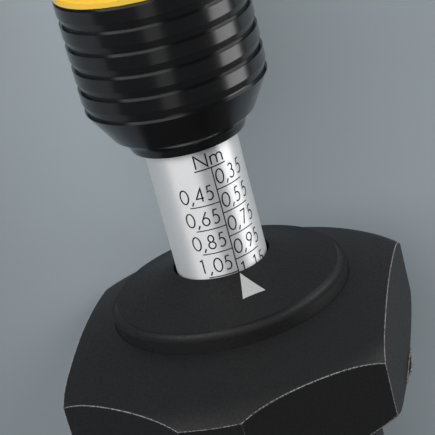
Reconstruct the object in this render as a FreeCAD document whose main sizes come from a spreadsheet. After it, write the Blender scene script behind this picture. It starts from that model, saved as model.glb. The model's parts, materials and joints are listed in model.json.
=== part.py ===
import FreeCAD, Part
import math
import os
import Sketcher

# Adjustable torque screwdriver, lying on one flat of its anti-roll flange.
#
# +X runs along the tool towards the bit, +Z is up through the pointer, and the origin is the
# centre of the flange's lower flat. Every sub-part is drawn about the tool's own axis, with
# x = 0 at the front face of the handle, where the scale tube comes out: minus x is inside
# the handle and plus x is the free front. The tool is drawn set to 1.05 N m.

os.makedirs("parts", exist_ok=True)
doc = FreeCAD.newDocument("torque_screwdriver")

# ---------------------------------------------------------------- driving sizes

SIZES = (
    # handle front: domed boss, cone shoulder, flange with flats
    ("boss_radius", 12.0), ("boss_height", 4.2), ("boss_seat", 4.3), ("boss_edge", 0.7),
    ("dome_drop", 2.3), ("dome_radius", 30.0), ("mouth_radius", 4.9), ("mouth_web", 2.2),
    ("shoulder_radius", 18.2), ("shoulder_drop", 1.95), ("shoulder_round", 4.36),
    ("round_drop", 1.45), ("flange_radius", 20.3), ("flat_apothem", 18.9), ("land_length", 5.6),
    # handle grip: neck, palm swell, rear end
    ("neck_radius", 11.6), ("neck_fillet", 5.0), ("neck_length", 4.5), ("swell_radius", 18.9),
    ("swell_run", 41.0), ("rear_radius", 14.6), ("rear_round", 1.6),
    # pointer let into the dome
    ("pointer_tip", 5.05), ("pointer_base", 8.0), ("pointer_width", 2.4), ("pointer_floor", 1.4),
    # clutch housing and its bores
    ("housing_radius", 10.0), ("spigot_radius", 7.0), ("spigot_length", 5.6), ("bore_radius", 8.2),
    ("front_bore", 16.5), ("slot_radius", 9.1), ("key_width", 3.0), ("key_height", 8.9),
    # guide bush of the scale tube
    ("bush_radius", 6.2), ("bush_length", 9.8),
    # clutch rings and balls
    ("ring_thickness", 3.0), ("ring_bore", 4.0), ("ring_gap", 0.9), ("driven_thickness", 4.1),
    ("pockets", 12), ("clutch_balls", 6), ("ball_radius", 1.2), ("ball_circle", 6.1),
    ("ball_bite", 0.55), ("dowel_radius", 0.5), ("dowel_length", 3.4), ("dowels", 3),
    # main spring and its seats
    ("seat_thickness", 1.0), ("seat_radius", 7.9), ("spring_length", 24.0), ("spring_pitch", 4.2),
    ("wire_width", 1.6), ("wire_height", 1.5), ("spring_inner", 5.3),
    # collar at the tail of the drive shaft
    ("collar_length", 4.0), ("collar_radius", 8.1), ("hub_radius", 4.8), ("hub_length", 5.0),
    ("tail_recess", 1.5), ("screw_clear", 4.4), ("pin_radius", 1.0),
    # thrust bearing
    ("race_thickness", 1.0), ("race_radius", 7.6), ("thrust_ball", 0.98), ("thrust_circle", 6.0),
    ("thrust_balls", 10), ("cage_thickness", 0.8),
    # travelling nut and lead screw
    ("nut_length", 13.0), ("nut_radius", 8.0), ("screw_radius", 4.0), ("screw_grip", 8.0),
    ("screw_pitch", 1.25), ("turns_down", 7.5), ("screw_flange", 6.5), ("stop_gap", 1.6), ("flange_length", 2.0),
    ("plate_length", 3.5), ("clip_thickness", 1.2), ("clip_radius", 8.9), ("clip_inner", 7.2),
    ("rear_lip", 0.5),
    # setting knob
    ("knob_radius", 14.0), ("knob_length", 11.5), ("knob_gap", 0.5), ("knob_round", 1.5),
    ("flutes", 12), ("flute_radius", 2.4), ("flute_depth", 0.9), ("knob_well", 8.5),
    ("well_depth", 4.5), ("drive_across", 6.0), ("screw_head", 2.75), ("screw_shank", 1.5),
    ("cap_thickness", 1.6), ("washer_inner", 10.4), ("washer_outer", 12.8), ("washer_thickness", 0.4),
    # drive shaft and scale tube
    ("tube_radius", 4.6), ("shaft_radius", 3.5), ("tail_radius", 2.98), ("tube_tail", 14.0), ("hex_across", 6.0),
    ("hex_front", 19.0), ("hex_length", 17.0),
    # chuck body
    ("chuck_rear", 16.0), ("chuck_waist", 4.9), ("chuck_radius", 6.0), ("waist_length", 18.0),
    ("chuck_length", 36.0), ("nose_radius", 5.2), ("nose_length", 1.2), ("shaft_socket", 12.0),
    ("socket_across", 6.45), ("socket_depth", 20.0), ("socket_lead", 0.5),
    ("magnet_radius", 2.6), ("magnet_length", 2.5), ("chuck_clip", 0.8), ("clip_reach", 5.8),
    # release sleeve and lock balls
    ("web_gap", 0.3), ("release_length", 29.0), ("release_radius", 7.4), ("release_web", 2.0),
    ("release_hollow", 6.8), ("lock_place", 10.5), ("lock_radius", 1.65), ("lock_centre", 4.3),
    ("release_slope", 0.2), ("chuck_wire", 0.35), ("chuck_coil", 5.75), ("chuck_pitch", 2.4),
    # ribbed sleeve, window ring and front ring
    ("sleeve_start", 13.4), ("sleeve_mouth", 5.2), ("lip_length", 1.8), ("clip_room", 6.3),
    ("lip_radius", 5.9), ("lip_round", 1.6), ("lip_height", 0.5), ("cone_radius", 7.1), ("cone_start", 1.7),
    ("crest_radius", 9.04), ("cone_end", 4.9), ("ribs", 5), ("rib_pitch", 2.2), ("rib_first", 7.2),
    ("rib_crest", 1.25), ("rib_step", 0.06), ("rib_taper", 0.18), ("rib_tail", 0.7),
    ("notch_radius", 8.62), ("notch_run", 0.05), ("spigot_outer", 8.2), ("ribbed_length", 16.3),
    ("band_length", 8.5), ("band_radius", 8.98), ("band_rim", 0.42), ("windows", 6),
    ("window_angle", 50.0), ("window_depth", 0.4), ("nose_ring", 12.3), ("nose_web", 1.4),
    ("nose_bore", 6.3), ("nose_chamfer", 1.2),
    # clearances
    ("running", 0.05), ("sliding", 0.1), ("side_play", 0.1), ("free", 0.3),
)

sheet = doc.addObject("Spreadsheet::Sheet", "sizes")
for row, (alias, number) in enumerate(SIZES, start=1):
    sheet.set(f"A{row}", alias)
    sheet.set(f"B{row}", str(number))
    sheet.setAlias(f"B{row}", alias)
doc.recompute()


class Size:
    """A number that knows the sheet expression it comes from."""

    def __init__(self, value, text):
        self.value = value
        self.text = text

    def join(self, sign, other, value):
        return Size(value, f"({self.text} {sign} {other.text})")

    def __add__(self, other):
        other = as_size(other)
        return self.join("+", other, self.value + other.value)

    def __sub__(self, other):
        other = as_size(other)
        return self.join("-", other, self.value - other.value)

    def __mul__(self, other):
        other = as_size(other)
        return self.join("*", other, self.value * other.value)

    def __truediv__(self, other):
        other = as_size(other)
        return self.join("/", other, self.value / other.value)

    def __neg__(self):
        return Size(-self.value, f"(-1 * {self.text})")

    def __radd__(self, other):
        return as_size(other) + self

    def __rsub__(self, other):
        return as_size(other) - self

    def __rmul__(self, other):
        return as_size(other) * self


def as_size(number):
    return number if isinstance(number, Size) else Size(number, repr(number))


def root(size):
    return Size(math.sqrt(size.value), f"sqrt({size.text})")


class Sheet:
    """Each alias of the sheet as a Size."""

    def __getattr__(self, alias):
        return Size(dict(SIZES)[alias], f"sizes.{alias}")


s = Sheet()

# ---------------------------------------------------------------- places along the axis

shoulder = -s.boss_height
seat = shoulder - s.boss_seat
round_start = shoulder - s.shoulder_drop
land_front = round_start - s.round_drop
land_rear = land_front - s.land_length
under_start = land_rear - s.round_drop
under_end = under_start - s.shoulder_drop * 0.6
neck_front = under_end - s.neck_fillet
neck_rear = neck_front - s.neck_length
swell = neck_rear - s.swell_run

ring_seat = seat - s.front_bore
fixed_rear = ring_seat - s.ring_thickness
ball_place = fixed_rear - (s.ball_radius - s.ball_bite)
driven_front = fixed_rear - s.ring_gap
driven_rear = driven_front - s.driven_thickness
spring_front = driven_rear - s.seat_thickness
spring_rear = spring_front - s.spring_length
collar_front = spring_rear - s.seat_thickness
collar_rear = collar_front - s.collar_length
shaft_tail = collar_rear + s.tail_recess
race_face = collar_rear - s.race_thickness
thrust_place = race_face - s.thrust_ball - 0.02
nut_race = thrust_place - s.thrust_ball - 0.02
nut_front = nut_race - s.race_thickness
nut_rear = nut_front - s.nut_length
screw_front = nut_rear + s.screw_grip
travel_in = s.screw_pitch * s.turns_down
screw_stop = nut_rear - travel_in - s.stop_gap
screw_back = screw_stop - s.flange_length
plate_front = screw_back - s.free
plate_rear = plate_front - s.plate_length
clip_rear = plate_rear - s.clip_thickness
handle_rear = clip_rear - s.rear_lip
knob_front = handle_rear - s.knob_gap
knob_rear = knob_front - s.knob_length
well_floor = knob_rear + s.well_depth

step = s.chuck_rear + s.waist_length
chuck_front = s.chuck_rear + s.chuck_length
shaft_front = s.chuck_rear + s.shaft_socket
socket_floor = chuck_front - s.socket_depth
lock_place = chuck_front - s.lock_place
sleeve_step = s.sleeve_start + 6.5
release_rear = sleeve_step + s.side_play
release_front = release_rear + s.release_length
web_front = release_rear + s.release_web
ribbed_end = s.sleeve_start + s.ribbed_length
band_end = ribbed_end + s.band_length
nose_end = band_end + s.nose_ring
nose_web = nose_end - s.nose_web
spigot_end = nose_web - s.side_play

# ---------------------------------------------------------------- drawing tools

sub_parts = []


def new_body(label):
    """An empty body on the tool's axis, which lies one flat's height above the ground."""
    body = doc.addObject("PartDesign::Body", label)
    body.Label = label
    body.setExpression("Placement.Base.x", ((land_front + land_rear) / -2).text)
    body.setExpression("Placement.Base.z", s.flat_apothem.text)
    sub_parts.append(body)
    return body


def origin_plane(body, role):
    return [item for item in body.Origin.OriginFeatures if item.Role == role][0]


def new_sketch(body, name, plane, offset=None):
    sketch = body.newObject("Sketcher::SketchObject", name)
    sketch.AttachmentSupport = [(origin_plane(body, plane), "")]
    sketch.MapMode = "FlatFace"
    if offset is not None:
        sketch.setExpression("AttachmentOffset.Base.z", offset.text)
    return sketch


def bind(sketch, kind, *args):
    """A dimension whose value is a Size, bound to its expression."""
    size = as_size(args[-1])
    index = sketch.addConstraint(Sketcher.Constraint(kind, *args[:-1], size.value))
    sketch.setExpression(f"Constraints[{index}]", size.text)


def add_edge(sketch, start, end, radius):
    """A line, or an arc that turns left for a plus radius and right for a minus one.

    It returns the edge's number and which of its ends is the start and which the end."""
    vector = FreeCAD.Vector
    a = vector(start[0].value, start[1].value, 0)
    b = vector(end[0].value, end[1].value, 0)
    if radius is None:
        return sketch.addGeometry(Part.LineSegment(a, b), False), 1, 2
    along = b - a
    left = vector(-along.y, along.x, 0).normalize()
    reach = math.sqrt(radius.value ** 2 - (along.Length / 2) ** 2)
    turn = 1 if radius.value > 0 else -1
    centre = (a + b) * 0.5 + left * reach * turn
    circle = Part.Circle(centre, vector(0, 0, 1), abs(radius.value))
    first, last = (a, b) if turn > 0 else (b, a)
    arc = Part.ArcOfCircle(circle, circle.parameter(first), circle.parameter(last))
    edge = sketch.addGeometry(arc, False)
    bind(sketch, "Radius", edge, radius * turn)
    return (edge, 1, 2) if turn > 0 else (edge, 2, 1)


def draw_outline(sketch, corners):
    """A closed outline. Each corner is (x, y) or (x, y, radius of the arc to the next one)."""
    places = [tuple(as_size(number) for number in corner) for corner in corners]
    edges = []
    for here, there in zip(places, places[1:] + places[:1]):
        radius = here[2] if len(here) == 3 else None
        edges.append(add_edge(sketch, here, there, radius))
    for (edge, _, end), (following, begin, _) in zip(edges, edges[1:] + edges[:1]):
        sketch.addConstraint(Sketcher.Constraint("Coincident", edge, end, following, begin))
    for place, (edge, begin, _) in zip(places, edges):
        bind(sketch, "DistanceX", -1, 1, edge, begin, place[0])
        bind(sketch, "DistanceY", -1, 1, edge, begin, place[1])


def turned(label, corners, angle=360.0):
    """A body turned about the tool's axis from an outline of (x, radius) corners."""
    body = new_body(label)
    sketch = new_sketch(body, label + "_profile", "XZ_Plane")
    draw_outline(sketch, corners)
    turn = body.newObject("PartDesign::Revolution", label + "_turn")
    turn.Profile = sketch
    turn.ReferenceAxis = (sketch, ["H_Axis"])
    turn.Angle = angle
    turn.Midplane = angle < 360.0
    doc.recompute()
    return body


def ring(label, rear, front, inner, outer, angle=360.0):
    corners = [(rear, inner), (front, inner), (front, outer), (rear, outer)]
    return turned(label, corners, angle)


def disc(label, rear, front, radius):
    return turned(label, [(rear, 0), (front, 0), (front, radius), (rear, radius)])


def pocket(body, name, sketch, length):
    """A cut from the sketch's plane towards minus x, or minus the sketch's normal."""
    cut = body.newObject("PartDesign::Pocket", name)
    cut.Profile = sketch
    cut.setExpression("Length", as_size(length).text)
    doc.recompute()
    return cut


def hexagon(across):
    """Corners of a hexagon whose flats face plus and minus y."""
    apothem = across / 2
    half = apothem / math.sqrt(3)
    return [(apothem, half), (0, half * 2), (-apothem, half), (-apothem, -half), (0, half * -2), (apothem, -half)]


def hex_land(body, name, start, length, across, stock):
    """A stretch of a round bar of radius stock brought to a hexagon."""
    sketch = new_sketch(body, name + "_outline", "YZ_Plane", start)
    draw_outline(sketch, hexagon(across))
    draw_circle(sketch, 0, 0, stock + 1)
    pocket(body, name, sketch, length)


def hex_hole(body, name, start, length, across):
    sketch = new_sketch(body, name + "_outline", "YZ_Plane", start)
    draw_outline(sketch, hexagon(across))
    pocket(body, name, sketch, length)


def draw_circle(sketch, x, y, radius):
    x, y, radius = as_size(x), as_size(y), as_size(radius)
    circle = Part.Circle(FreeCAD.Vector(x.value, y.value, 0), FreeCAD.Vector(0, 0, 1), radius.value)
    edge = sketch.addGeometry(circle, False)
    bind(sketch, "DistanceX", -1, 1, edge, 3, x)
    bind(sketch, "DistanceY", -1, 1, edge, 3, y)
    bind(sketch, "Radius", edge, radius)


def round_hole(body, name, start, length, across_y, across_z, radius):
    """A hole parallel to the axis, cut towards minus x from the plane x = start."""
    sketch = new_sketch(body, name + "_circle", "YZ_Plane", start)
    draw_circle(sketch, across_y, across_z, radius)
    return pocket(body, name, sketch, length)


def cross_hole(body, name, place, radius, reach):
    """A hole along y right through the axis at x = place."""
    sketch = new_sketch(body, name + "_circle", "XZ_Plane")
    draw_circle(sketch, place, 0, radius)
    cut = pocket(body, name, sketch, reach * 2)
    cut.Midplane = True
    doc.recompute()


def dimple(body, name, place, out, radius):
    """A ball-shaped hollow centred on the axis plane at height out."""
    hollow = body.newObject("PartDesign::SubtractiveSphere", name)
    hollow.setExpression("Radius", radius.text)
    hollow.setExpression("Placement.Base.x", place.text)
    hollow.setExpression("Placement.Base.z", out.text)
    doc.recompute()
    return hollow


def around(body, feature, count):
    """Copies of a feature evenly round the axis."""
    pattern = body.newObject("PartDesign::PolarPattern", feature.Name + "_round")
    pattern.Originals = [feature]
    pattern.Axis = (origin_plane(body, "X_Axis"), [""])
    pattern.Angle = 360.0
    pattern.setExpression("Occurrences", count.text)
    body.Tip = pattern
    doc.recompute()


def spring(label, front, rear, corners, pitch, height):
    """A coil spring whose wire has the given section."""
    body = new_body(label)
    sketch = new_sketch(body, label + "_wire", "XZ_Plane")
    draw_outline(sketch, corners)
    coil = body.newObject("PartDesign::AdditiveHelix", label + "_coil")
    coil.Profile = sketch
    coil.ReferenceAxis = (sketch, ["H_Axis"])
    coil.Mode = 0
    coil.setExpression("Pitch", pitch.text)
    coil.setExpression("Height", height.text)
    doc.recompute()
    return body


def placed(item, x, y, z):
    """Put a Part primitive at a point given about the tool's axis."""
    item.setExpression("Placement.Base.x", (as_size(x) + (land_front + land_rear) / -2).text)
    item.setExpression("Placement.Base.y", as_size(y).text)
    item.setExpression("Placement.Base.z", (as_size(z) + s.flat_apothem).text)
    return item


def ball(name, radius, x, y, z):
    sphere = doc.addObject("Part::Sphere", name)
    sphere.setExpression("Radius", radius.text)
    return placed(sphere, x, y, z)


def pin(name, radius, length, x, y, z, axis):
    """A plain dowel that starts at the given point and runs along axis."""
    rod = doc.addObject("Part::Cylinder", name)
    rod.setExpression("Radius", radius.text)
    rod.setExpression("Height", length.text)
    rod.Placement.Rotation = FreeCAD.Rotation(FreeCAD.Vector(0, 0, 1), axis)
    return placed(rod, x, y, z)


def group(label, members):
    """Loose pieces of one kind, such as balls, as one sub-part of separate solids."""
    bundle = doc.addObject("Part::Compound", label)
    bundle.Label = label
    bundle.Links = members
    sub_parts.append(bundle)


def single(label, item):
    item.Label = label
    sub_parts.append(item)


def on_circle(count, radius, first=0.0):
    """Places (y, z) evenly round the axis, starting at the top."""
    places = []
    for index in range(int(count.value)):
        angle = math.radians(first + 360.0 * index / count.value)
        places.append((radius * math.sin(angle), radius * math.cos(angle)))
    return places


# ---------------------------------------------------------------- handle


def handle_core():
    """One moulding: cone shoulder, flange, neck, palm swell and rear end, bored for the housing."""
    rise = s.swell_radius - s.neck_radius
    run = s.swell_run
    s_curve = (run * run + rise * rise) / (rise * 4)
    fall = s.swell_radius - s.rear_radius
    back = swell - handle_rear - s.rear_round
    tail = (back * back + fall * fall) / (fall * 2)
    under_radius = s.shoulder_radius - 3.7
    fillet_run = s.neck_fillet
    fillet_rise = under_radius - s.neck_radius
    fillet = (fillet_run * fillet_run + fillet_rise * fillet_rise) / (fillet_rise * 2)
    recess = s.boss_radius + s.running
    body = turned("handle_core", [
        (handle_rear, s.housing_radius),
        (seat, s.housing_radius),
        (seat, recess),
        (shoulder, recess),
        (round_start, s.shoulder_radius, s.shoulder_round),
        (land_front, s.flange_radius),
        (land_rear, s.flange_radius, s.shoulder_round),
        (under_start, s.shoulder_radius),
        (under_end, under_radius, -fillet),
        (neck_front, s.neck_radius),
        (neck_rear, s.neck_radius, -s_curve),
        ((neck_rear + swell) / 2, (s.neck_radius + s.swell_radius) / 2, s_curve),
        (swell, s.swell_radius, tail),
        (handle_rear + s.rear_round, s.rear_radius, s.rear_round),
        (handle_rear, s.rear_radius - s.rear_round),
    ])
    flange_flats(body)


def flange_flats(body):
    """Two wide and four narrow flats, each corner between a wide and a narrow one on the rim."""
    apothem = s.flat_apothem
    half = root(s.flange_radius * s.flange_radius - apothem * apothem)
    corner = apothem / math.sqrt(3)
    side_y = apothem * (math.sqrt(3) / 2) + half * 0.5
    side_z = apothem * 0.5 - half * (math.sqrt(3) / 2)
    sketch = new_sketch(body, "flats_outline", "YZ_Plane", shoulder + 1)
    draw_outline(sketch, [
        (corner, apothem), (side_y, side_z), (half, -apothem),
        (-corner, -apothem), (-side_y, -side_z), (-half, apothem),
    ])
    draw_circle(sketch, 0, 0, s.flange_radius + 3)
    pocket(body, "flats", sketch, shoulder + 1 - under_start + s.shoulder_drop * 0.3)


def boss_profile(floor):
    """Outline of the domed boss above the plane x = floor, without its bore."""
    dome_edge = s.boss_radius - s.boss_edge
    return [
        (floor, s.mouth_radius),
        (0, s.mouth_radius, -s.dome_radius),
        (-s.dome_drop, dome_edge, -s.boss_edge),
        (-s.dome_drop - s.boss_edge, s.boss_radius),
    ]


def triangle(grow=0.0):
    return [
        (0, s.pointer_tip - grow * 2), (-s.pointer_width / 2 - grow, s.pointer_base + grow),
        (s.pointer_width / 2 + grow, s.pointer_base + grow),
    ]


def front_boss():
    """Domed cap of the handle, with the tube's mouth, a seat for the bush and a spigot."""
    top = boss_profile(-s.mouth_web)
    spigot_end = seat - s.spigot_length
    body = turned("front_boss", top[:1] + top[1:] + [
        (seat, s.boss_radius),
        (seat, s.spigot_radius),
        (spigot_end, s.spigot_radius),
        (spigot_end, s.bush_radius),
        (-s.mouth_web, s.bush_radius),
    ])
    sketch = new_sketch(body, "pointer_seat_outline", "YZ_Plane", as_size(1))
    draw_outline(sketch, triangle())
    pocket(body, "pointer_seat", sketch, s.pointer_floor + 1)


def pointer():
    """Light triangle let into the dome, its face flush with the dome."""
    floor = -s.pointer_floor
    dome_edge = s.boss_radius - s.boss_edge
    body = turned("pointer", [
        (floor, s.mouth_radius), (0, s.mouth_radius, -s.dome_radius),
        (-s.dome_drop, dome_edge), (floor - 1, dome_edge), (floor - 1, s.pointer_base + 1),
        (floor, s.pointer_base + 0.5),
    ])
    sketch = new_sketch(body, "pointer_outline", "YZ_Plane", as_size(1))
    draw_outline(sketch, triangle())
    draw_circle(sketch, 0, 0, s.boss_radius + 1)
    pocket(body, "pointer_trim", sketch, s.dome_drop + 2)


def front_bush():
    front = -s.mouth_web
    ring("front_bush", front - s.bush_length, front, s.tube_radius + s.running, s.bush_radius)


def clutch_housing():
    """Steel tube that holds the clutch, spring and nut, with two slots for the nut's keys."""
    body = turned("clutch_housing", [
        (handle_rear, s.bore_radius),
        (clip_rear, s.bore_radius),
        (clip_rear, s.clip_radius),
        (plate_rear, s.clip_radius),
        (plate_rear, s.bore_radius),
        (ring_seat, s.bore_radius),
        (ring_seat, s.spigot_radius),
        (seat, s.spigot_radius),
        (seat, s.housing_radius),
        (handle_rear, s.housing_radius),
    ])
    slot_front = nut_front + s.screw_pitch * 3
    slot_length = slot_front - handle_rear + 1
    half = (s.key_width + s.sliding * 2) / 2
    sketch = new_sketch(body, "key_slot_outline", "YZ_Plane", slot_front)
    draw_outline(sketch, [
        (half, -s.slot_radius), (half, s.slot_radius), (-half, s.slot_radius), (-half, -s.slot_radius),
    ])
    pocket(body, "key_slots", sketch, slot_length)
    out = (s.spigot_radius + s.bore_radius) / 2
    hole = round_hole(body, "dowel_hole", ring_seat + s.dowel_length / 2, s.dowel_length / 2, 0, out, s.dowel_radius)
    around(body, hole, s.dowels)


def fixed_clutch_ring():
    """Front clutch ring, doweled into the housing, with a pocket for every click."""
    body = ring("fixed_clutch_ring", fixed_rear, ring_seat, s.ring_bore, s.bore_radius)
    out = (s.spigot_radius + s.bore_radius) / 2
    hole = round_hole(body, "ring_dowel_hole", ring_seat, s.dowel_length / 2, 0, out, s.dowel_radius)
    around(body, hole, s.dowels)
    hollow = dimple(body, "ball_pocket", ball_place, s.ball_circle, s.ball_radius + s.running)
    around(body, hollow, s.pockets)


def ring_dowels():
    out = (s.spigot_radius + s.bore_radius) / 2
    start = ring_seat - s.dowel_length / 2
    along = FreeCAD.Vector(1, 0, 0)
    group("ring_dowels", [
        pin(f"ring_dowel_{index}", s.dowel_radius, s.dowel_length, start, y, z, along)
        for index, (y, z) in enumerate(on_circle(s.dowels, out))
    ])


def rear_plate():
    """Plate at the back of the housing that carries the lead screw."""
    ring("rear_plate", plate_rear, plate_front, s.screw_radius + s.running, s.bore_radius)


def rear_clip():
    ring("rear_clip", clip_rear, plate_rear, s.clip_inner, s.clip_radius, 320.0)


# ---------------------------------------------------------------- torque setting


def setting_knob():
    """Fluted knob at the rear, driven onto the hexagon of the lead screw."""
    edge = s.knob_radius - s.knob_round
    body = turned("setting_knob", [
        (knob_front, 0), (knob_front, edge + 1), (knob_front - 0.5, s.knob_radius),
        (knob_rear + s.knob_round, s.knob_radius, s.knob_round),
        (knob_rear, edge), (knob_rear, s.knob_well), (well_floor, s.knob_well), (well_floor, 0),
    ])
    hex_hole(body, "knob_drive", knob_front, s.knob_length, s.drive_across)
    centre = s.knob_radius + s.flute_radius - s.flute_depth
    flute = round_hole(body, "flute", knob_front + 1, s.knob_length + 2, 0, centre, s.flute_radius)
    around(body, flute, s.flutes)


def lead_screw():
    """Screw with a thrust flange; its end is a hexagon for the knob, tapped for the knob's screw."""
    body = turned("lead_screw", [
        (well_floor, s.screw_shank), (knob_front + 1, s.screw_shank), (knob_front + 1, 0),
        (screw_front, 0), (screw_front, s.screw_radius - 0.6), (screw_front - 0.6, s.screw_radius),
        (screw_stop, s.screw_radius), (screw_stop, s.screw_flange), (screw_back, s.screw_flange),
        (screw_back, s.screw_radius), (well_floor, s.screw_radius),
    ])
    hex_land(body, "knob_hexagon", knob_front, s.knob_length, s.drive_across, s.screw_radius)


def knob_screw():
    rear = well_floor - 1.6
    turned("knob_screw", [
        (rear, 0), (rear, s.screw_head), (well_floor, s.screw_head), (well_floor, s.screw_shank),
        (knob_front + 1, s.screw_shank), (knob_front + 1, 0),
    ])


def knob_cap():
    front = knob_rear + s.cap_thickness + 0.6
    rear = knob_rear + 0.6
    turned("knob_cap", [
        (rear, 0), (rear, s.knob_well - 0.6), (rear + 0.6, s.knob_well), (front, s.knob_well), (front, 0),
    ])


def friction_washer():
    """Soft washer under the knob that keeps a setting where it is put."""
    ring("friction_washer", knob_front, knob_front + s.washer_thickness, s.washer_inner, s.washer_outer)


def travel_nut():
    """Nut that slides in the housing on two keys and pushes the front unit out."""
    body = ring("travel_nut", nut_rear, nut_front, s.screw_radius + s.running, s.nut_radius)
    half = s.key_width / 2
    for name, side in (("upper_key", 1), ("lower_key", -1)):
        sketch = new_sketch(body, name + "_outline", "YZ_Plane", nut_rear)
        inner, outer = (s.nut_radius - 1) * side, s.key_height * side
        draw_outline(sketch, [(half, inner), (half, outer), (-half, outer), (-half, inner)])
        key = body.newObject("PartDesign::Pad", name)
        key.Profile = sketch
        key.setExpression("Length", s.nut_length.text)
        doc.recompute()


def thrust_bearing():
    """Two races, a cage and its balls: the front unit turns on them when the clutch slips."""
    ring("front_race", race_face, collar_rear, s.screw_clear, s.race_radius)
    ring("rear_race", nut_front, nut_race, s.screw_clear, s.race_radius)
    half = s.cage_thickness / 2
    cage = ring("bearing_cage", thrust_place - half, thrust_place + half, s.screw_clear + 0.1, s.race_radius - 0.2)
    hole = round_hole(cage, "cage_hole", thrust_place + s.cage_thickness, s.cage_thickness * 2, 0,
                      s.thrust_circle, s.thrust_ball + s.running)
    around(cage, hole, s.thrust_balls)
    group("bearing_balls", [
        ball(f"bearing_ball_{index}", s.thrust_ball, thrust_place, y, z)
        for index, (y, z) in enumerate(on_circle(s.thrust_balls, s.thrust_circle))
    ])


# ---------------------------------------------------------------- clutch and main spring


def driven_clutch_ring():
    """Ring keyed on the shaft's hexagon; it holds the balls against the fixed ring."""
    body = ring("driven_clutch_ring", driven_rear, driven_front, 2.5, s.bore_radius - s.sliding)
    hex_hole(body, "ring_hexagon", driven_front + 1, s.driven_thickness + 2, s.hex_across + s.sliding)
    hollow = dimple(body, "ball_socket", ball_place, s.ball_circle, s.ball_radius + s.running)
    around(body, hollow, s.clutch_balls)


def clutch_balls():
    group("clutch_balls", [
        ball(f"clutch_ball_{index}", s.ball_radius, ball_place, y, z)
        for index, (y, z) in enumerate(on_circle(s.clutch_balls, s.ball_circle))
    ])


def spring_seats():
    ring("front_spring_seat", spring_front, driven_rear, s.shaft_radius + s.free, s.seat_radius)
    ring("rear_spring_seat", collar_front, spring_rear, s.hub_radius + s.running, s.seat_radius)


def main_spring():
    """Flat-wire spring round the shaft; the further out the tube, the harder it presses."""
    inner, outer = s.spring_inner, s.spring_inner + s.wire_height
    wire_front = spring_rear + s.wire_width
    spring("main_spring", spring_front, spring_rear, [
        (spring_rear, inner), (wire_front, inner), (wire_front, outer), (spring_rear, outer),
    ], s.spring_pitch, s.spring_length - s.wire_width)


# ---------------------------------------------------------------- front unit


def drive_shaft():
    hex_rear = -s.hex_front - s.hex_length
    body = turned("drive_shaft", [
        (shaft_tail, 0), (shaft_front, 0), (shaft_front, s.shaft_radius), (hex_rear, s.shaft_radius),
        (hex_rear, s.tail_radius), (shaft_tail, s.tail_radius),
    ])
    hex_land(body, "shaft_hexagon", -s.hex_front, s.hex_length, s.hex_across, s.shaft_radius)
    cross_hole(body, "collar_pin_hole", pin_place(), s.pin_radius, s.shaft_radius + 1)
    cross_hole(body, "chuck_pin_hole", chuck_pin_place(), s.pin_radius, s.shaft_radius + 1)


def pin_place():
    return collar_front + s.hub_length / 2


def chuck_pin_place():
    return (web_front + shaft_front) / 2 + s.pin_radius


def cross_pin(label, place, reach):
    start = -reach
    single(label, pin(label, s.pin_radius, reach * 2, place, start, 0, FreeCAD.Vector(0, 1, 0)))


def shaft_collar():
    """Collar pinned to the shaft's tail: the spring pushes on it and the nut holds it."""
    body = turned("shaft_collar", [
        (shaft_tail, s.tail_radius), (collar_front + s.hub_length, s.tail_radius),
        (collar_front + s.hub_length, s.hub_radius), (collar_front, s.hub_radius),
        (collar_front, s.collar_radius), (collar_rear, s.collar_radius),
        (collar_rear, s.screw_clear), (shaft_tail, s.screw_clear),
    ])
    cross_hole(body, "hub_pin_hole", pin_place(), s.pin_radius, s.hub_radius + 1)


def scale_tube():
    """Printed tube on the shaft; the handle's mouth reads the torque off it."""
    ring("scale_tube", -s.tube_tail, s.chuck_rear, s.shaft_radius, s.tube_radius)


def chuck_body():
    """Bit holder: hexagon socket at the front, shaft socket behind, waist for the spring."""
    nose = chuck_front - s.nose_length
    groove = release_rear - s.web_gap
    groove_rear = groove - s.chuck_clip
    groove_radius = s.chuck_waist - 0.5
    body = turned("chuck_body", [
        (s.chuck_rear, s.shaft_radius), (shaft_front, s.shaft_radius), (shaft_front, 0),
        (chuck_front, 0), (chuck_front, s.nose_radius), (nose, s.chuck_radius),
        (step, s.chuck_radius), (step, s.chuck_waist),
        (groove, s.chuck_waist), (groove, groove_radius), (groove_rear, groove_radius),
        (groove_rear, s.chuck_waist), (s.chuck_rear, s.chuck_waist),
    ])
    hex_hole(body, "bit_socket", chuck_front, s.socket_depth, s.socket_across)
    round_hole(body, "magnet_seat", socket_floor, s.magnet_length, 0, 0, s.magnet_radius)
    cross_hole(body, "lock_ball_holes", lock_place, s.lock_radius + s.running, s.chuck_radius + 1)
    cross_hole(body, "body_pin_hole", chuck_pin_place(), s.pin_radius, s.chuck_waist + 1)


def socket_magnet():
    disc("socket_magnet", socket_floor - s.magnet_length, socket_floor, s.magnet_radius)


def chuck_clip():
    """Snap ring in the chuck body's groove: the release sleeve rests against it."""
    front = release_rear - s.web_gap
    ring("chuck_clip", front - s.chuck_clip, front, s.chuck_waist - 0.5, s.clip_reach, 320.0)


def chuck_spring():
    """Light coil spring that pushes the release sleeve back onto its snap ring."""
    wire = s.chuck_wire
    low, high = s.chuck_coil - wire, s.chuck_coil + wire
    far = web_front + wire * 2
    spring("chuck_spring", web_front, step, [
        (web_front, low), (far, low), (far, high), (web_front, high),
    ], s.chuck_pitch, step - web_front - wire * 2)


def release_sleeve():
    """Steel sleeve: pushed forward, its cone lets the lock balls move out of the bit's groove."""
    bore = s.chuck_radius + s.running
    cone_run = (s.release_hollow - bore) / s.release_slope
    turned("release_sleeve", [
        (release_rear, s.chuck_waist + s.running), (web_front, s.chuck_waist + s.running),
        (web_front, s.release_hollow), (lock_place - cone_run, s.release_hollow),
        (lock_place, bore), (release_front, bore), (release_front, s.release_radius),
        (release_rear, s.release_radius),
    ])


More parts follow.
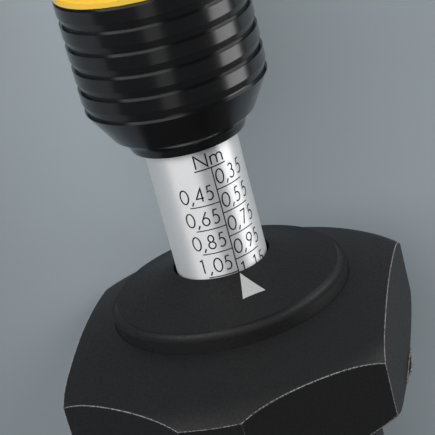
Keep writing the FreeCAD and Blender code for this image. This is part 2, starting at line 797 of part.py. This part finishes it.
def lock_balls():
    for label, side in (("lock_ball_left", 1), ("lock_ball_right", -1)):
        single(label, ball(label, s.lock_radius, lock_place, s.lock_centre * side, 0))


# ---------------------------------------------------------------- spinning sleeve


def rib_corners():
    """The ribs from the front to the back: crest, small step, taper and notch."""
    corners = []
    for index in reversed(range(int(s.ribs.value))):
        edge = s.sleeve_start + s.rib_first + s.rib_pitch * index
        step_place = edge - s.rib_crest
        low = s.crest_radius - s.rib_step
        tail_place = step_place - s.rib_tail
        corners += [
            (edge, s.notch_radius), (edge, s.crest_radius), (step_place, s.crest_radius),
            (step_place, low), (tail_place, low - s.rib_taper),
        ]
        corners.append((tail_place - s.notch_run, s.notch_radius))
    return corners


def ribbed_sleeve():
    """Gloss sleeve: ribs outside, a spigot in front for the two rings, a lip round the tube."""
    start = s.sleeve_start
    bore = s.release_radius + s.running
    turned("ribbed_sleeve", [
        (start, s.sleeve_mouth), (start + s.lip_length, s.sleeve_mouth), (start + s.lip_length, s.clip_room),
        (sleeve_step, s.clip_room), (sleeve_step, bore), (spigot_end, bore), (spigot_end, s.spigot_outer),
        (ribbed_end, s.spigot_outer), (ribbed_end, s.notch_radius),
    ] + rib_corners() + [
        (start + s.cone_end, s.notch_radius), (start + s.cone_end, s.crest_radius - s.rib_step),
        (start + s.cone_start, s.cone_radius, -s.lip_round), (start + s.lip_height, s.lip_radius),
        (start, s.lip_radius - 0.2),
    ])


def window_ring():
    """Yellow band with blind windows, snapped onto the sleeve's spigot."""
    body = ring("window_ring", ribbed_end, band_end, s.spigot_outer, s.band_radius)
    sketch = new_sketch(body, "window_outline", "XZ_Plane")
    floor = s.band_radius - s.window_depth
    top = s.band_radius + 1
    low, high = ribbed_end + s.band_rim, band_end - s.band_rim
    draw_outline(sketch, [(low, floor), (high, floor), (high, top), (low, top)])
    window = body.newObject("PartDesign::Groove", "window")
    window.Profile = sketch
    window.ReferenceAxis = (sketch, ["H_Axis"])
    window.setExpression("Angle", s.window_angle.text)
    window.Midplane = True
    doc.recompute()
    around(body, window, s.windows)


def front_ring():
    """Black ring that closes the sleeve and drives the release sleeve back and forth."""
    outer = s.crest_radius
    turned("front_ring", [
        (band_end, s.spigot_outer), (nose_web, s.spigot_outer), (nose_web, s.nose_bore),
        (nose_end, s.nose_bore), (nose_end, outer - s.nose_chamfer),
        (nose_end - s.nose_chamfer * 2, outer), (band_end, outer),
    ])


handle_core()
front_boss()
pointer()
front_bush()
clutch_housing()
fixed_clutch_ring()
ring_dowels()
rear_plate()
rear_clip()
setting_knob()
lead_screw()
knob_screw()
knob_cap()
friction_washer()
travel_nut()
thrust_bearing()
driven_clutch_ring()
clutch_balls()
spring_seats()
main_spring()
drive_shaft()
cross_pin("collar_pin", pin_place(), s.hub_radius)
cross_pin("chuck_pin", chuck_pin_place(), s.chuck_waist - s.sliding * 2)
shaft_collar()
scale_tube()
chuck_body()
socket_magnet()
chuck_clip()
chuck_spring()
release_sleeve()
lock_balls()
ribbed_sleeve()
window_ring()
front_ring()

# ---------------------------------------------------------------- checks and files

doc.recompute()
for item in doc.Objects:
    if "Invalid" in item.State or "Error" in item.State:
        raise RuntimeError(f"{item.Label} failed: {item.State}")
for item in sub_parts:
    shape = item.Shape
    if shape.isNull() or not shape.isValid() or not shape.Solids:
        raise RuntimeError(f"{item.Label} has no valid solid")
for item in sub_parts:
    item.Shape.exportStep(f"parts/{item.Label}.step")
    print(f"{item.Label}: {len(item.Shape.Solids)} solid(s), {item.Shape.Volume:.1f} mm3")
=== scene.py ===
import json
import math

import bpy
from mathutils import Matrix, Vector

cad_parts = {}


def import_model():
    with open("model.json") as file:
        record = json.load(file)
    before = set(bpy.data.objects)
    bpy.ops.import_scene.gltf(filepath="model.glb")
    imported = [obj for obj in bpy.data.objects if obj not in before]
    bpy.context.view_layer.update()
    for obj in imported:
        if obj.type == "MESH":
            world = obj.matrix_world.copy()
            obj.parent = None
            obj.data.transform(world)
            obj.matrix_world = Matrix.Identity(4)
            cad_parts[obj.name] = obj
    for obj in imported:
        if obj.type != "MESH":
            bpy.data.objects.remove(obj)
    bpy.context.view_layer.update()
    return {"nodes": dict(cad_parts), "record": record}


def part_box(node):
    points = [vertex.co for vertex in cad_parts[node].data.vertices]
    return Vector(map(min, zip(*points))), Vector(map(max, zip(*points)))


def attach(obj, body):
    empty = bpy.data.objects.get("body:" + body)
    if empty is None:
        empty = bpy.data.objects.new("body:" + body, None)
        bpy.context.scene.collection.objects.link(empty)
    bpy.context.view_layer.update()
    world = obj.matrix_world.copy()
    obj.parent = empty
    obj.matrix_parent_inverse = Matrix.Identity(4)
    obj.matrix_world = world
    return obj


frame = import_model()

# ---------------------------------------------------------------- places taken from the frame

MM = 0.001
AXIS_Z = (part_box("scale_tube")[0][2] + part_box("scale_tube")[1][2]) / 2
TUBE_RADIUS = (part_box("scale_tube")[1][2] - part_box("scale_tube")[0][2]) / 2
FACE_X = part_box("front_boss")[1][0]

# ---------------------------------------------------------------- materials


class Shader:
    """A node material under construction."""

    def __init__(self, name):
        self.material = bpy.data.materials.new(name)
        self.material.use_nodes = True
        self.tree = self.material.node_tree
        self.nodes = self.tree.nodes
        self.surface = self.nodes["Principled BSDF"]
        self.place = self.node("ShaderNodeTexCoord").outputs["Object"]

    def node(self, kind, **settings):
        made = self.nodes.new(kind)
        for key, value in settings.items():
            setattr(made, key, value)
        return made

    def link(self, source, target):
        self.tree.links.new(source, target)

    def set(self, **values):
        for key, value in values.items():
            self.surface.inputs[key.replace("_", " ")].default_value = value

    def noise(self, size, detail=2.0, roughness=0.5):
        """Noise whose blobs are about size metres across, from 0 to 1."""
        made = self.node("ShaderNodeTexNoise")
        made.inputs["Scale"].default_value = 1 / size
        made.inputs["Detail"].default_value = detail
        made.inputs["Roughness"].default_value = roughness
        self.link(self.place, made.inputs["Vector"])
        return made.outputs["Fac"]

    def streaks(self, size, stretch):
        """Noise drawn out by stretch along each axis."""
        mapping = self.node("ShaderNodeMapping")
        mapping.inputs["Scale"].default_value = stretch
        self.link(self.place, mapping.inputs["Vector"])
        made = self.node("ShaderNodeTexNoise")
        made.inputs["Scale"].default_value = 1 / size
        made.inputs["Detail"].default_value = 3.0
        self.link(mapping.outputs["Vector"], made.inputs["Vector"])
        return made.outputs["Fac"]

    def roughen(self, source, low, high, bottom, top):
        """Roughness from bottom to top where source goes from low to high."""
        self.link(self.ramp(source, low, high, bottom, top), self.surface.inputs["Roughness"])

    def math(self, operation, first, second=0.0):
        made = self.node("ShaderNodeMath", operation=operation)
        for index, value in enumerate((first, second)):
            if isinstance(value, float):
                made.inputs[index].default_value = value
            else:
                self.link(value, made.inputs[index])
        return made.outputs["Value"]

    def ramp(self, source, low, high, bottom, top):
        """Source between low and high mapped to bottom and top, held outside."""
        made = self.node("ShaderNodeMapRange")
        for index, value in enumerate((low, high, bottom, top), start=1):
            made.inputs[index].default_value = value
        self.link(source, made.inputs[0])
        return made.outputs[0]

    def colour(self, source, first, second):
        """Base colour blended by source."""
        made = self.node("ShaderNodeMix", data_type="RGBA")
        made.inputs[6].default_value = (*first, 1)
        made.inputs[7].default_value = (*second, 1)
        self.link(source, made.inputs[0])
        self.link(made.outputs[2], self.surface.inputs["Base Color"])
        return made.outputs[2]

    def bump(self, height, distance, strength=1.0):
        made = self.node("ShaderNodeBump")
        made.inputs["Strength"].default_value = strength
        made.inputs["Distance"].default_value = distance
        self.link(height, made.inputs["Height"])
        self.link(made.outputs["Normal"], self.surface.inputs["Normal"])


def textured_black(name, highlight_beyond=None):
    """Spark-eroded moulding. Sharp edges further from the axis than the given radius get a painted
    highlight: light grey broken up by grain, standing in for light caught on the arrises.
    """
    shader = Shader(name)
    shader.set(Roughness=0.5, IOR=1.45, Specular_IOR_Level=0.32)
    fine = shader.noise(0.22 * MM, 3.0, 0.6)
    coarse = shader.noise(0.6 * MM, 2.0)
    height = shader.math("ADD", fine, shader.math("MULTIPLY", coarse, 0.6))
    shader.bump(height, 0.03 * MM, 0.55)
    speck = shader.ramp(fine, 0.35, 0.8, 0.0, 1.0)
    base = shader.colour(speck, (0.0045, 0.0045, 0.005), (0.012, 0.012, 0.0125))
    shader.roughen(fine, 0.3, 0.8, 0.62, 0.44)
    if highlight_beyond is not None:
        edge = painted_edge_highlight(shader, highlight_beyond)
        # Painted highlight: the sharp outer edges are mixed towards light grey (0.42) in the base
        # colour.
        mix = shader.node("ShaderNodeMix", data_type="RGBA")
        mix.inputs[7].default_value = (0.42, 0.42, 0.42, 1)
        shader.link(edge, mix.inputs[0])
        shader.link(base, mix.inputs[6])
        shader.link(mix.outputs[2], shader.surface.inputs["Base Color"])
    return shader.material


def painted_edge_highlight(shader, beyond):
    """Mask of the painted edge highlight: 1 on sharp edges that lie further than beyond from the
    tool's axis, broken up by grain.
    """
    bevel = shader.node("ShaderNodeBevel", samples=8)
    bevel.inputs["Radius"].default_value = 0.2 * MM
    geometry = shader.node("ShaderNodeNewGeometry")
    dot = shader.node("ShaderNodeVectorMath", operation="DOT_PRODUCT")
    shader.link(bevel.outputs["Normal"], dot.inputs[0])
    shader.link(geometry.outputs["Normal"], dot.inputs[1])
    sharp = shader.ramp(dot.outputs["Value"], 0.985, 0.93, 0.0, 1.0)
    split = shader.node("ShaderNodeSeparateXYZ")
    shader.link(shader.place, split.inputs["Vector"])
    across = shader.math("POWER", split.outputs["Y"], 2.0)
    height = shader.math("SUBTRACT", split.outputs["Z"], AXIS_Z)
    radius = shader.math("SQRT", shader.math("ADD", across, shader.math("POWER", height, 2.0)))
    outside = shader.math("GREATER_THAN", radius, beyond)
    grain = shader.ramp(shader.noise(0.16 * MM, 1.0), 0.38, 0.55, 0.15, 1.0)
    return shader.math("MULTIPLY", shader.math("MULTIPLY", sharp, outside), grain)


def gloss_plastic(name, dark, light, roughness):
    """Smooth moulding with a faint flow in its colour and gloss."""
    shader = Shader(name)
    shader.set(IOR=1.5, Coat_Weight=0.3, Coat_Roughness=0.2)
    shader.colour(shader.noise(3 * MM, 3.0), dark, light)
    gloss = shader.noise(0.5 * MM, 4.0, 0.7)
    shader.roughen(gloss, 0.2, 0.8, roughness * 0.8, roughness * 1.25)
    shader.bump(shader.noise(1.2 * MM, 2.0), 0.004 * MM, 0.5)
    return shader.material


def turned_metal(name, dark, light, roughness, depth=0.002):
    """Metal with fine rings left by the lathe round the tool's axis."""
    shader = Shader(name)
    shader.set(Metallic=1.0)
    rings = shader.streaks(0.25 * MM, (1.0, 0.02, 0.02))
    shader.colour(rings, dark, light)
    shader.roughen(rings, 0.3, 0.7, roughness * 0.8, roughness * 1.2)
    shader.bump(rings, depth * MM, 0.6)
    return shader.material


def satin_tube(name):
    """Bright satin tube: nearly white, its sheen drawn out along the tool."""
    shader = Shader(name)
    shader.set(Metallic=0.6, IOR=1.5, Anisotropic=0.9, Anisotropic_Rotation=0.25)
    tangent = shader.node("ShaderNodeTangent", direction_type="RADIAL", axis="X")
    shader.link(tangent.outputs["Tangent"], shader.surface.inputs["Tangent"])
    grain = shader.noise(0.12 * MM, 3.0, 0.6)
    shader.colour(grain, (0.74, 0.745, 0.75), (0.84, 0.845, 0.85))
    shader.roughen(grain, 0.2, 0.8, 0.45, 0.55)
    shader.bump(grain, 0.002 * MM, 0.5)
    return shader.material


def matte(name, dark, light, roughness, size=0.3, specular=0.5):
    """Dull surface with a grain of size millimetres."""
    shader = Shader(name)
    shader.set(Specular_IOR_Level=specular)
    grain = shader.noise(size * MM, 3.0, 0.6)
    shader.colour(grain, dark, light)
    shader.roughen(grain, 0.2, 0.8, roughness - 0.08, roughness + 0.08)
    shader.bump(grain, 0.01 * MM, 0.4)
    return shader.material


# Handle body black with the painted edge highlight on sharp edges beyond 15.5 mm from the axis.
BODY_BLACK = textured_black("textured_black_edge_highlight", 15.5 * MM)
MATTE_BLACK = textured_black("textured_black")
GLOSS_BLACK = gloss_plastic("gloss_black", (0.0045, 0.0045, 0.005), (0.0075, 0.0075, 0.008), 0.2)
YELLOW = gloss_plastic(
    "signal_yellow", (0.84, 0.53, 0.05), (0.88, 0.58, 0.065), 0.34)
TUBE = satin_tube("satin_tube")
POINTER_GREY = matte("pointer_grey", (0.33, 0.33, 0.33), (0.45, 0.45, 0.45), 0.6)
STEEL = turned_metal("turned_steel", (0.42, 0.43, 0.44), (0.6, 0.61, 0.62), 0.3)
HARD_STEEL = turned_metal("ground_steel", (0.28, 0.29, 0.3), (0.42, 0.43, 0.44), 0.22)
SPRING_STEEL = turned_metal("spring_steel", (0.2, 0.21, 0.23), (0.32, 0.33, 0.35), 0.3)
BALL_STEEL = turned_metal("ball_steel", (0.62, 0.63, 0.65), (0.72, 0.73, 0.75), 0.08, 0.0005)
BRONZE = turned_metal("bearing_bronze", (0.42, 0.24, 0.08), (0.58, 0.36, 0.14), 0.35)
NICKEL = turned_metal("nickel_plate", (0.5, 0.48, 0.44), (0.62, 0.6, 0.55), 0.25)
NYLON = matte("natural_nylon", (0.6, 0.59, 0.54), (0.72, 0.71, 0.66), 0.5)
RUBBER = matte("soft_rubber", (0.012, 0.012, 0.012), (0.025, 0.025, 0.025), 0.75)
INK = matte("black_ink", (0.006, 0.006, 0.006), (0.014, 0.014, 0.014), 0.5, 0.1, 0.1)

FINISH = {
    "textured_black": MATTE_BLACK, "gloss_black": GLOSS_BLACK, "signal_yellow": YELLOW,
    "pointer_grey": POINTER_GREY, "satin_tube": TUBE, "steel": STEEL, "hardened_steel": HARD_STEEL,
    "spring_steel": SPRING_STEEL, "ball_steel": BALL_STEEL, "bronze": BRONZE, "nickel": NICKEL,
    "nylon": NYLON, "rubber": RUBBER,
}


def paint(thing, material):
    if not thing.material_slots:
        thing.data.materials.append(material)
    for slot in thing.material_slots:
        slot.material = material


for subpart in frame["record"]["subparts"]:
    paint(frame["nodes"][subpart["node"]], FINISH[subpart["material_slot"]])
# The handle core gets the black with the painted edge highlight.
paint(frame["nodes"]["handle_core"], BODY_BLACK)

# ---------------------------------------------------------------- printed scale

PRINT_RADIUS = TUBE_RADIUS + 0.012 * MM
DIGIT_HEIGHT = 1.42
DIGIT_STROKE = 0.14
LINE_STROKE = 0.11
UNIT_STROKE = 0.15
UNIT_LINE_STROKE = 0.13
SETTING = 1.05
ALONG_PER_UNIT = 12.5
UNIT_LINE = 11.1
UNIT_BASE = 11.33
UNIT_HEIGHT = 1.35
MIDDLE = 0.05
HIDDEN_END = -3.0
LONGEST_STEP = 0.4


def arc(x, y, wide, high, start, end, steps=20):
    """Points on an ellipse from start to end degrees."""
    points = []
    for index in range(steps + 1):
        angle = math.radians(start + (end - start) * index / steps)
        points.append((x + wide * math.cos(angle), y + high * math.sin(angle)))
    return points


TOP = DIGIT_HEIGHT
GLYPHS = {
    "0": [arc(0.4, TOP / 2, 0.4, TOP / 2, 0, 360, 36)],
    "1": [[(0.2, TOP - 0.14), (0.45, TOP), (0.45, 0)]],
    "3": [arc(0.24, 1.1, 0.25, 0.32, 150, -90), arc(0.24, 0.39, 0.32, 0.39, 90, -150)],
    "4": [[(0.6, 0), (0.6, TOP), (0.02, 0.36), (0.76, 0.36)]],
    "5": [[(0.52, TOP), (0.15, TOP), (0.06, 0.8)]
          + arc(0.22, 0.45, 0.34, 0.45, 118, -130)],
    "6": [[(0.54, TOP), (0.08, 0.62)], arc(0.37, 0.4, 0.34, 0.4, 0, 360, 32)],
    "7": [[(0.04, TOP), (0.64, TOP), (0.2, 0)]],
    "8": [arc(0.36, 1.07, 0.27, 0.35, 0, 360, 28),
          arc(0.36, 0.36, 0.34, 0.36, 0, 360, 32)],
    "9": [[(0.2, 0), (0.66, 0.8)], arc(0.37, TOP - 0.4, 0.34, 0.4, 0, 360, 32)],
    ",": [[(0.26, 0.1), (0.06, -0.3)]],
}
CELLS = (0.07, 1.02, 1.6, 2.72)


def ribbon(points, stroke):
    """Two rows of points, stroke apart, either side of a drawn line."""
    closed = math.dist(points[0], points[-1]) < 0.001
    if closed:
        points = points[:-1]
    count = len(points)
    left, right = [], []
    for index, (x, y) in enumerate(points):
        before = points[index - 1] if closed or index > 0 else points[index]
        after = points[(index + 1) % count] if closed or index < count - 1 else points[index]
        first = Vector((x - before[0], y - before[1]))
        second = Vector((after[0] - x, after[1] - y))
        first = first.normalized() if first.length > 0 else second.normalized()
        second = second.normalized() if second.length > 0 else first
        mean = (first + second).normalized()
        half = stroke / 2 / max(mean.dot(first), 0.45)
        normal = Vector((-mean.y, mean.x)) * half
        left.append((x + normal.x, y + normal.y))
        right.append((x - normal.x, y - normal.y))
    if closed:
        left.append(left[0])
        right.append(right[0])
    return left, right


def on_tube(across, along):
    """A point of the print: across round the tube and along it, in millimetres."""
    angle = across * MM / PRINT_RADIUS
    y = -PRINT_RADIUS * math.sin(angle)
    z = AXIS_Z + PRINT_RADIUS * math.cos(angle)
    return (FACE_X + along * MM, y, z)


def divided(points, longest):
    """The same line with no step longer than longest, so that it follows the tube."""
    result = [points[0]]
    for start, end in zip(points, points[1:]):
        steps = max(1, math.ceil(math.dist(start, end) / longest))
        for index in range(1, steps + 1):
            part = index / steps
            x = start[0] + (end[0] - start[0]) * part
            y = start[1] + (end[1] - start[1]) * part
            result.append((x, y))
    return result


def printed(name, strokes):
    """One printed piece from (line, stroke width) pairs."""
    vertices, faces = [], []
    for line, stroke in strokes:
        left, right = ribbon(divided(line, LONGEST_STEP), stroke)
        first = len(vertices)
        for a, b in zip(left, right):
            vertices += [on_tube(*a), on_tube(*b)]
        for index in range(len(left) - 1):
            corner = first + index * 2
            faces.append((corner, corner + 2, corner + 3, corner + 1))
    mesh = bpy.data.meshes.new(name)
    mesh.from_pydata(vertices, [], faces)
    mesh.validate()
    piece = bpy.data.objects.new(name, mesh)
    bpy.context.scene.collection.objects.link(piece)
    paint(piece, INK)
    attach(piece, "front_unit")
    return piece


def number_strokes(value, start, base):
    text = f"{value:.2f}".replace(".", ",")
    strokes = []
    for character, cell in zip(text, CELLS):
        for line in GLYPHS[character]:
            strokes.append(([(start + cell + x, base + y) for x, y in line], DIGIT_STROKE))
    return strokes


def scale_row(value, side):
    """A value with the short line under it, on the left (-1) or the right (1) of the middle line."""
    along = (SETTING - value) * ALONG_PER_UNIT
    start = 0.22 if side > 0 else -3.72
    line = [(MIDDLE, along), (3.15, along)] if side > 0 else [(-2.93, along), (MIDDLE, along)]
    strokes = number_strokes(value, start, along + 0.5)
    strokes.append((line, LINE_STROKE))
    digits = f"{value * 100:.0f}"
    printed(f"scale_row_{digits}", strokes)


def unit_mark():
    """The unit over the columns, with its line."""
    low, high = UNIT_BASE, UNIT_BASE + UNIT_HEIGHT
    capital = [(-1.4, low), (-1.4, high), (-0.22, low), (-0.22, high)]
    stem = [(0.18, low), (0.18, low + 0.92)]
    first = arc(0.5, low + 0.6, 0.32, 0.32, 180, 0, 14) + [(0.82, low)]
    second = arc(1.13, low + 0.6, 0.31, 0.32, 180, 0, 14) + [(1.44, low)]
    strokes = [(line, UNIT_STROKE) for line in (capital, stem, first, second)]
    strokes.append(([(-1.62, UNIT_LINE), (1.62, UNIT_LINE)], UNIT_LINE_STROKE))
    printed("scale_unit", strokes)


for value in (0.35, 0.55, 0.75, 0.95, 1.15):
    scale_row(value, 1)
for value in (0.45, 0.65, 0.85, 1.05):
    scale_row(value, -1)
unit_mark()
printed("scale_middle_line", [([(MIDDLE, UNIT_LINE), (MIDDLE, HIDDEN_END)], LINE_STROKE)])

# ---------------------------------------------------------------- floor, light and camera

FLOOR_REACH = 2.0


def floor():
    mesh = bpy.data.meshes.new("floor")
    reach = FLOOR_REACH
    corners = [(-reach, -reach, 0), (reach, -reach, 0), (reach, reach, 0), (-reach, reach, 0)]
    mesh.from_pydata(corners, [], [(0, 1, 2, 3)])
    plane = bpy.data.objects.new("floor", mesh)
    bpy.context.scene.collection.objects.link(plane)
    shader = Shader("floor")
    shader.set(Roughness=0.9, Specular_IOR_Level=0.1)
    shader.colour(shader.noise(40 * MM, 2.0), (0.33, 0.375, 0.405), (0.34, 0.385, 0.415))
    paint(plane, shader.material)


def softbox(name, direction, distance, size, power):
    """A rectangular lamp that faces the tool, the first of its sizes along the tool."""
    lamp = bpy.data.lights.new(name, "AREA")
    lamp.shape = "RECTANGLE"
    lamp.size, lamp.size_y = size
    lamp.energy = power
    holder = bpy.data.objects.new(name, lamp)
    bpy.context.scene.collection.objects.link(holder)
    middle = Vector((FACE_X, 0, AXIS_Z))
    back = Vector(direction).normalized()
    side = (Vector((1, 0, 0)) - back * back.x).normalized()
    up = back.cross(side)
    turn = Matrix((side, up, back)).transposed().to_4x4()
    holder.matrix_world = Matrix.Translation(middle + back * distance) @ turn


def world(strength, tint):
    scene_world = bpy.data.worlds.new("studio")
    bpy.context.scene.world = scene_world
    scene_world.use_nodes = True
    background = scene_world.node_tree.nodes["Background"]
    background.inputs["Color"].default_value = (*tint, 1)
    background.inputs["Strength"].default_value = strength


def camera(place, aim, lens, roll):
    """Looks from place to aim, with +X up in the picture before it is rolled by roll degrees."""
    data = bpy.data.cameras.new("camera")
    data.lens = lens
    data.sensor_width = 36
    data.clip_start = 0.01
    eye = bpy.data.objects.new("camera", data)
    bpy.context.scene.collection.objects.link(eye)
    ahead = (Vector(aim) - Vector(place)).normalized()
    upright = (Vector((1, 0, 0)) - ahead * ahead.x).normalized()
    right = ahead.cross(upright)
    up = upright * math.cos(math.radians(roll)) + right * math.sin(math.radians(roll))
    turn = Matrix((ahead.cross(up), up, -ahead)).transposed().to_4x4()
    eye.matrix_world = Matrix.Translation(place) @ turn
    bpy.context.scene.camera = eye


floor()
world(0.08, (0.9, 0.95, 1.0))
softbox("right_box", (-0.29, -0.855, 0.425), 0.5, (0.24, 0.27), 0.6)
softbox("left_box", (-0.29, 0.405, 0.867), 0.6, (0.5, 0.2), 0.12)
softbox("left_front", (0.5, 0.68, 0.53), 0.5, (0.3, 0.7), 2.9)
softbox("right_front", (0.5, -0.82, 0.27), 0.5, (0.3, 0.45), 1.9)
softbox("low_front", (0.95, 0.1, 0.15), 0.5, (0.1, 0.3), 0.3)
camera((0.0818, 0.0425, 0.1741), (0.01444, -0.00067, 0.0189), 146.6, 14.95)
bpy.context.scene.view_settings.view_transform = "Standard"
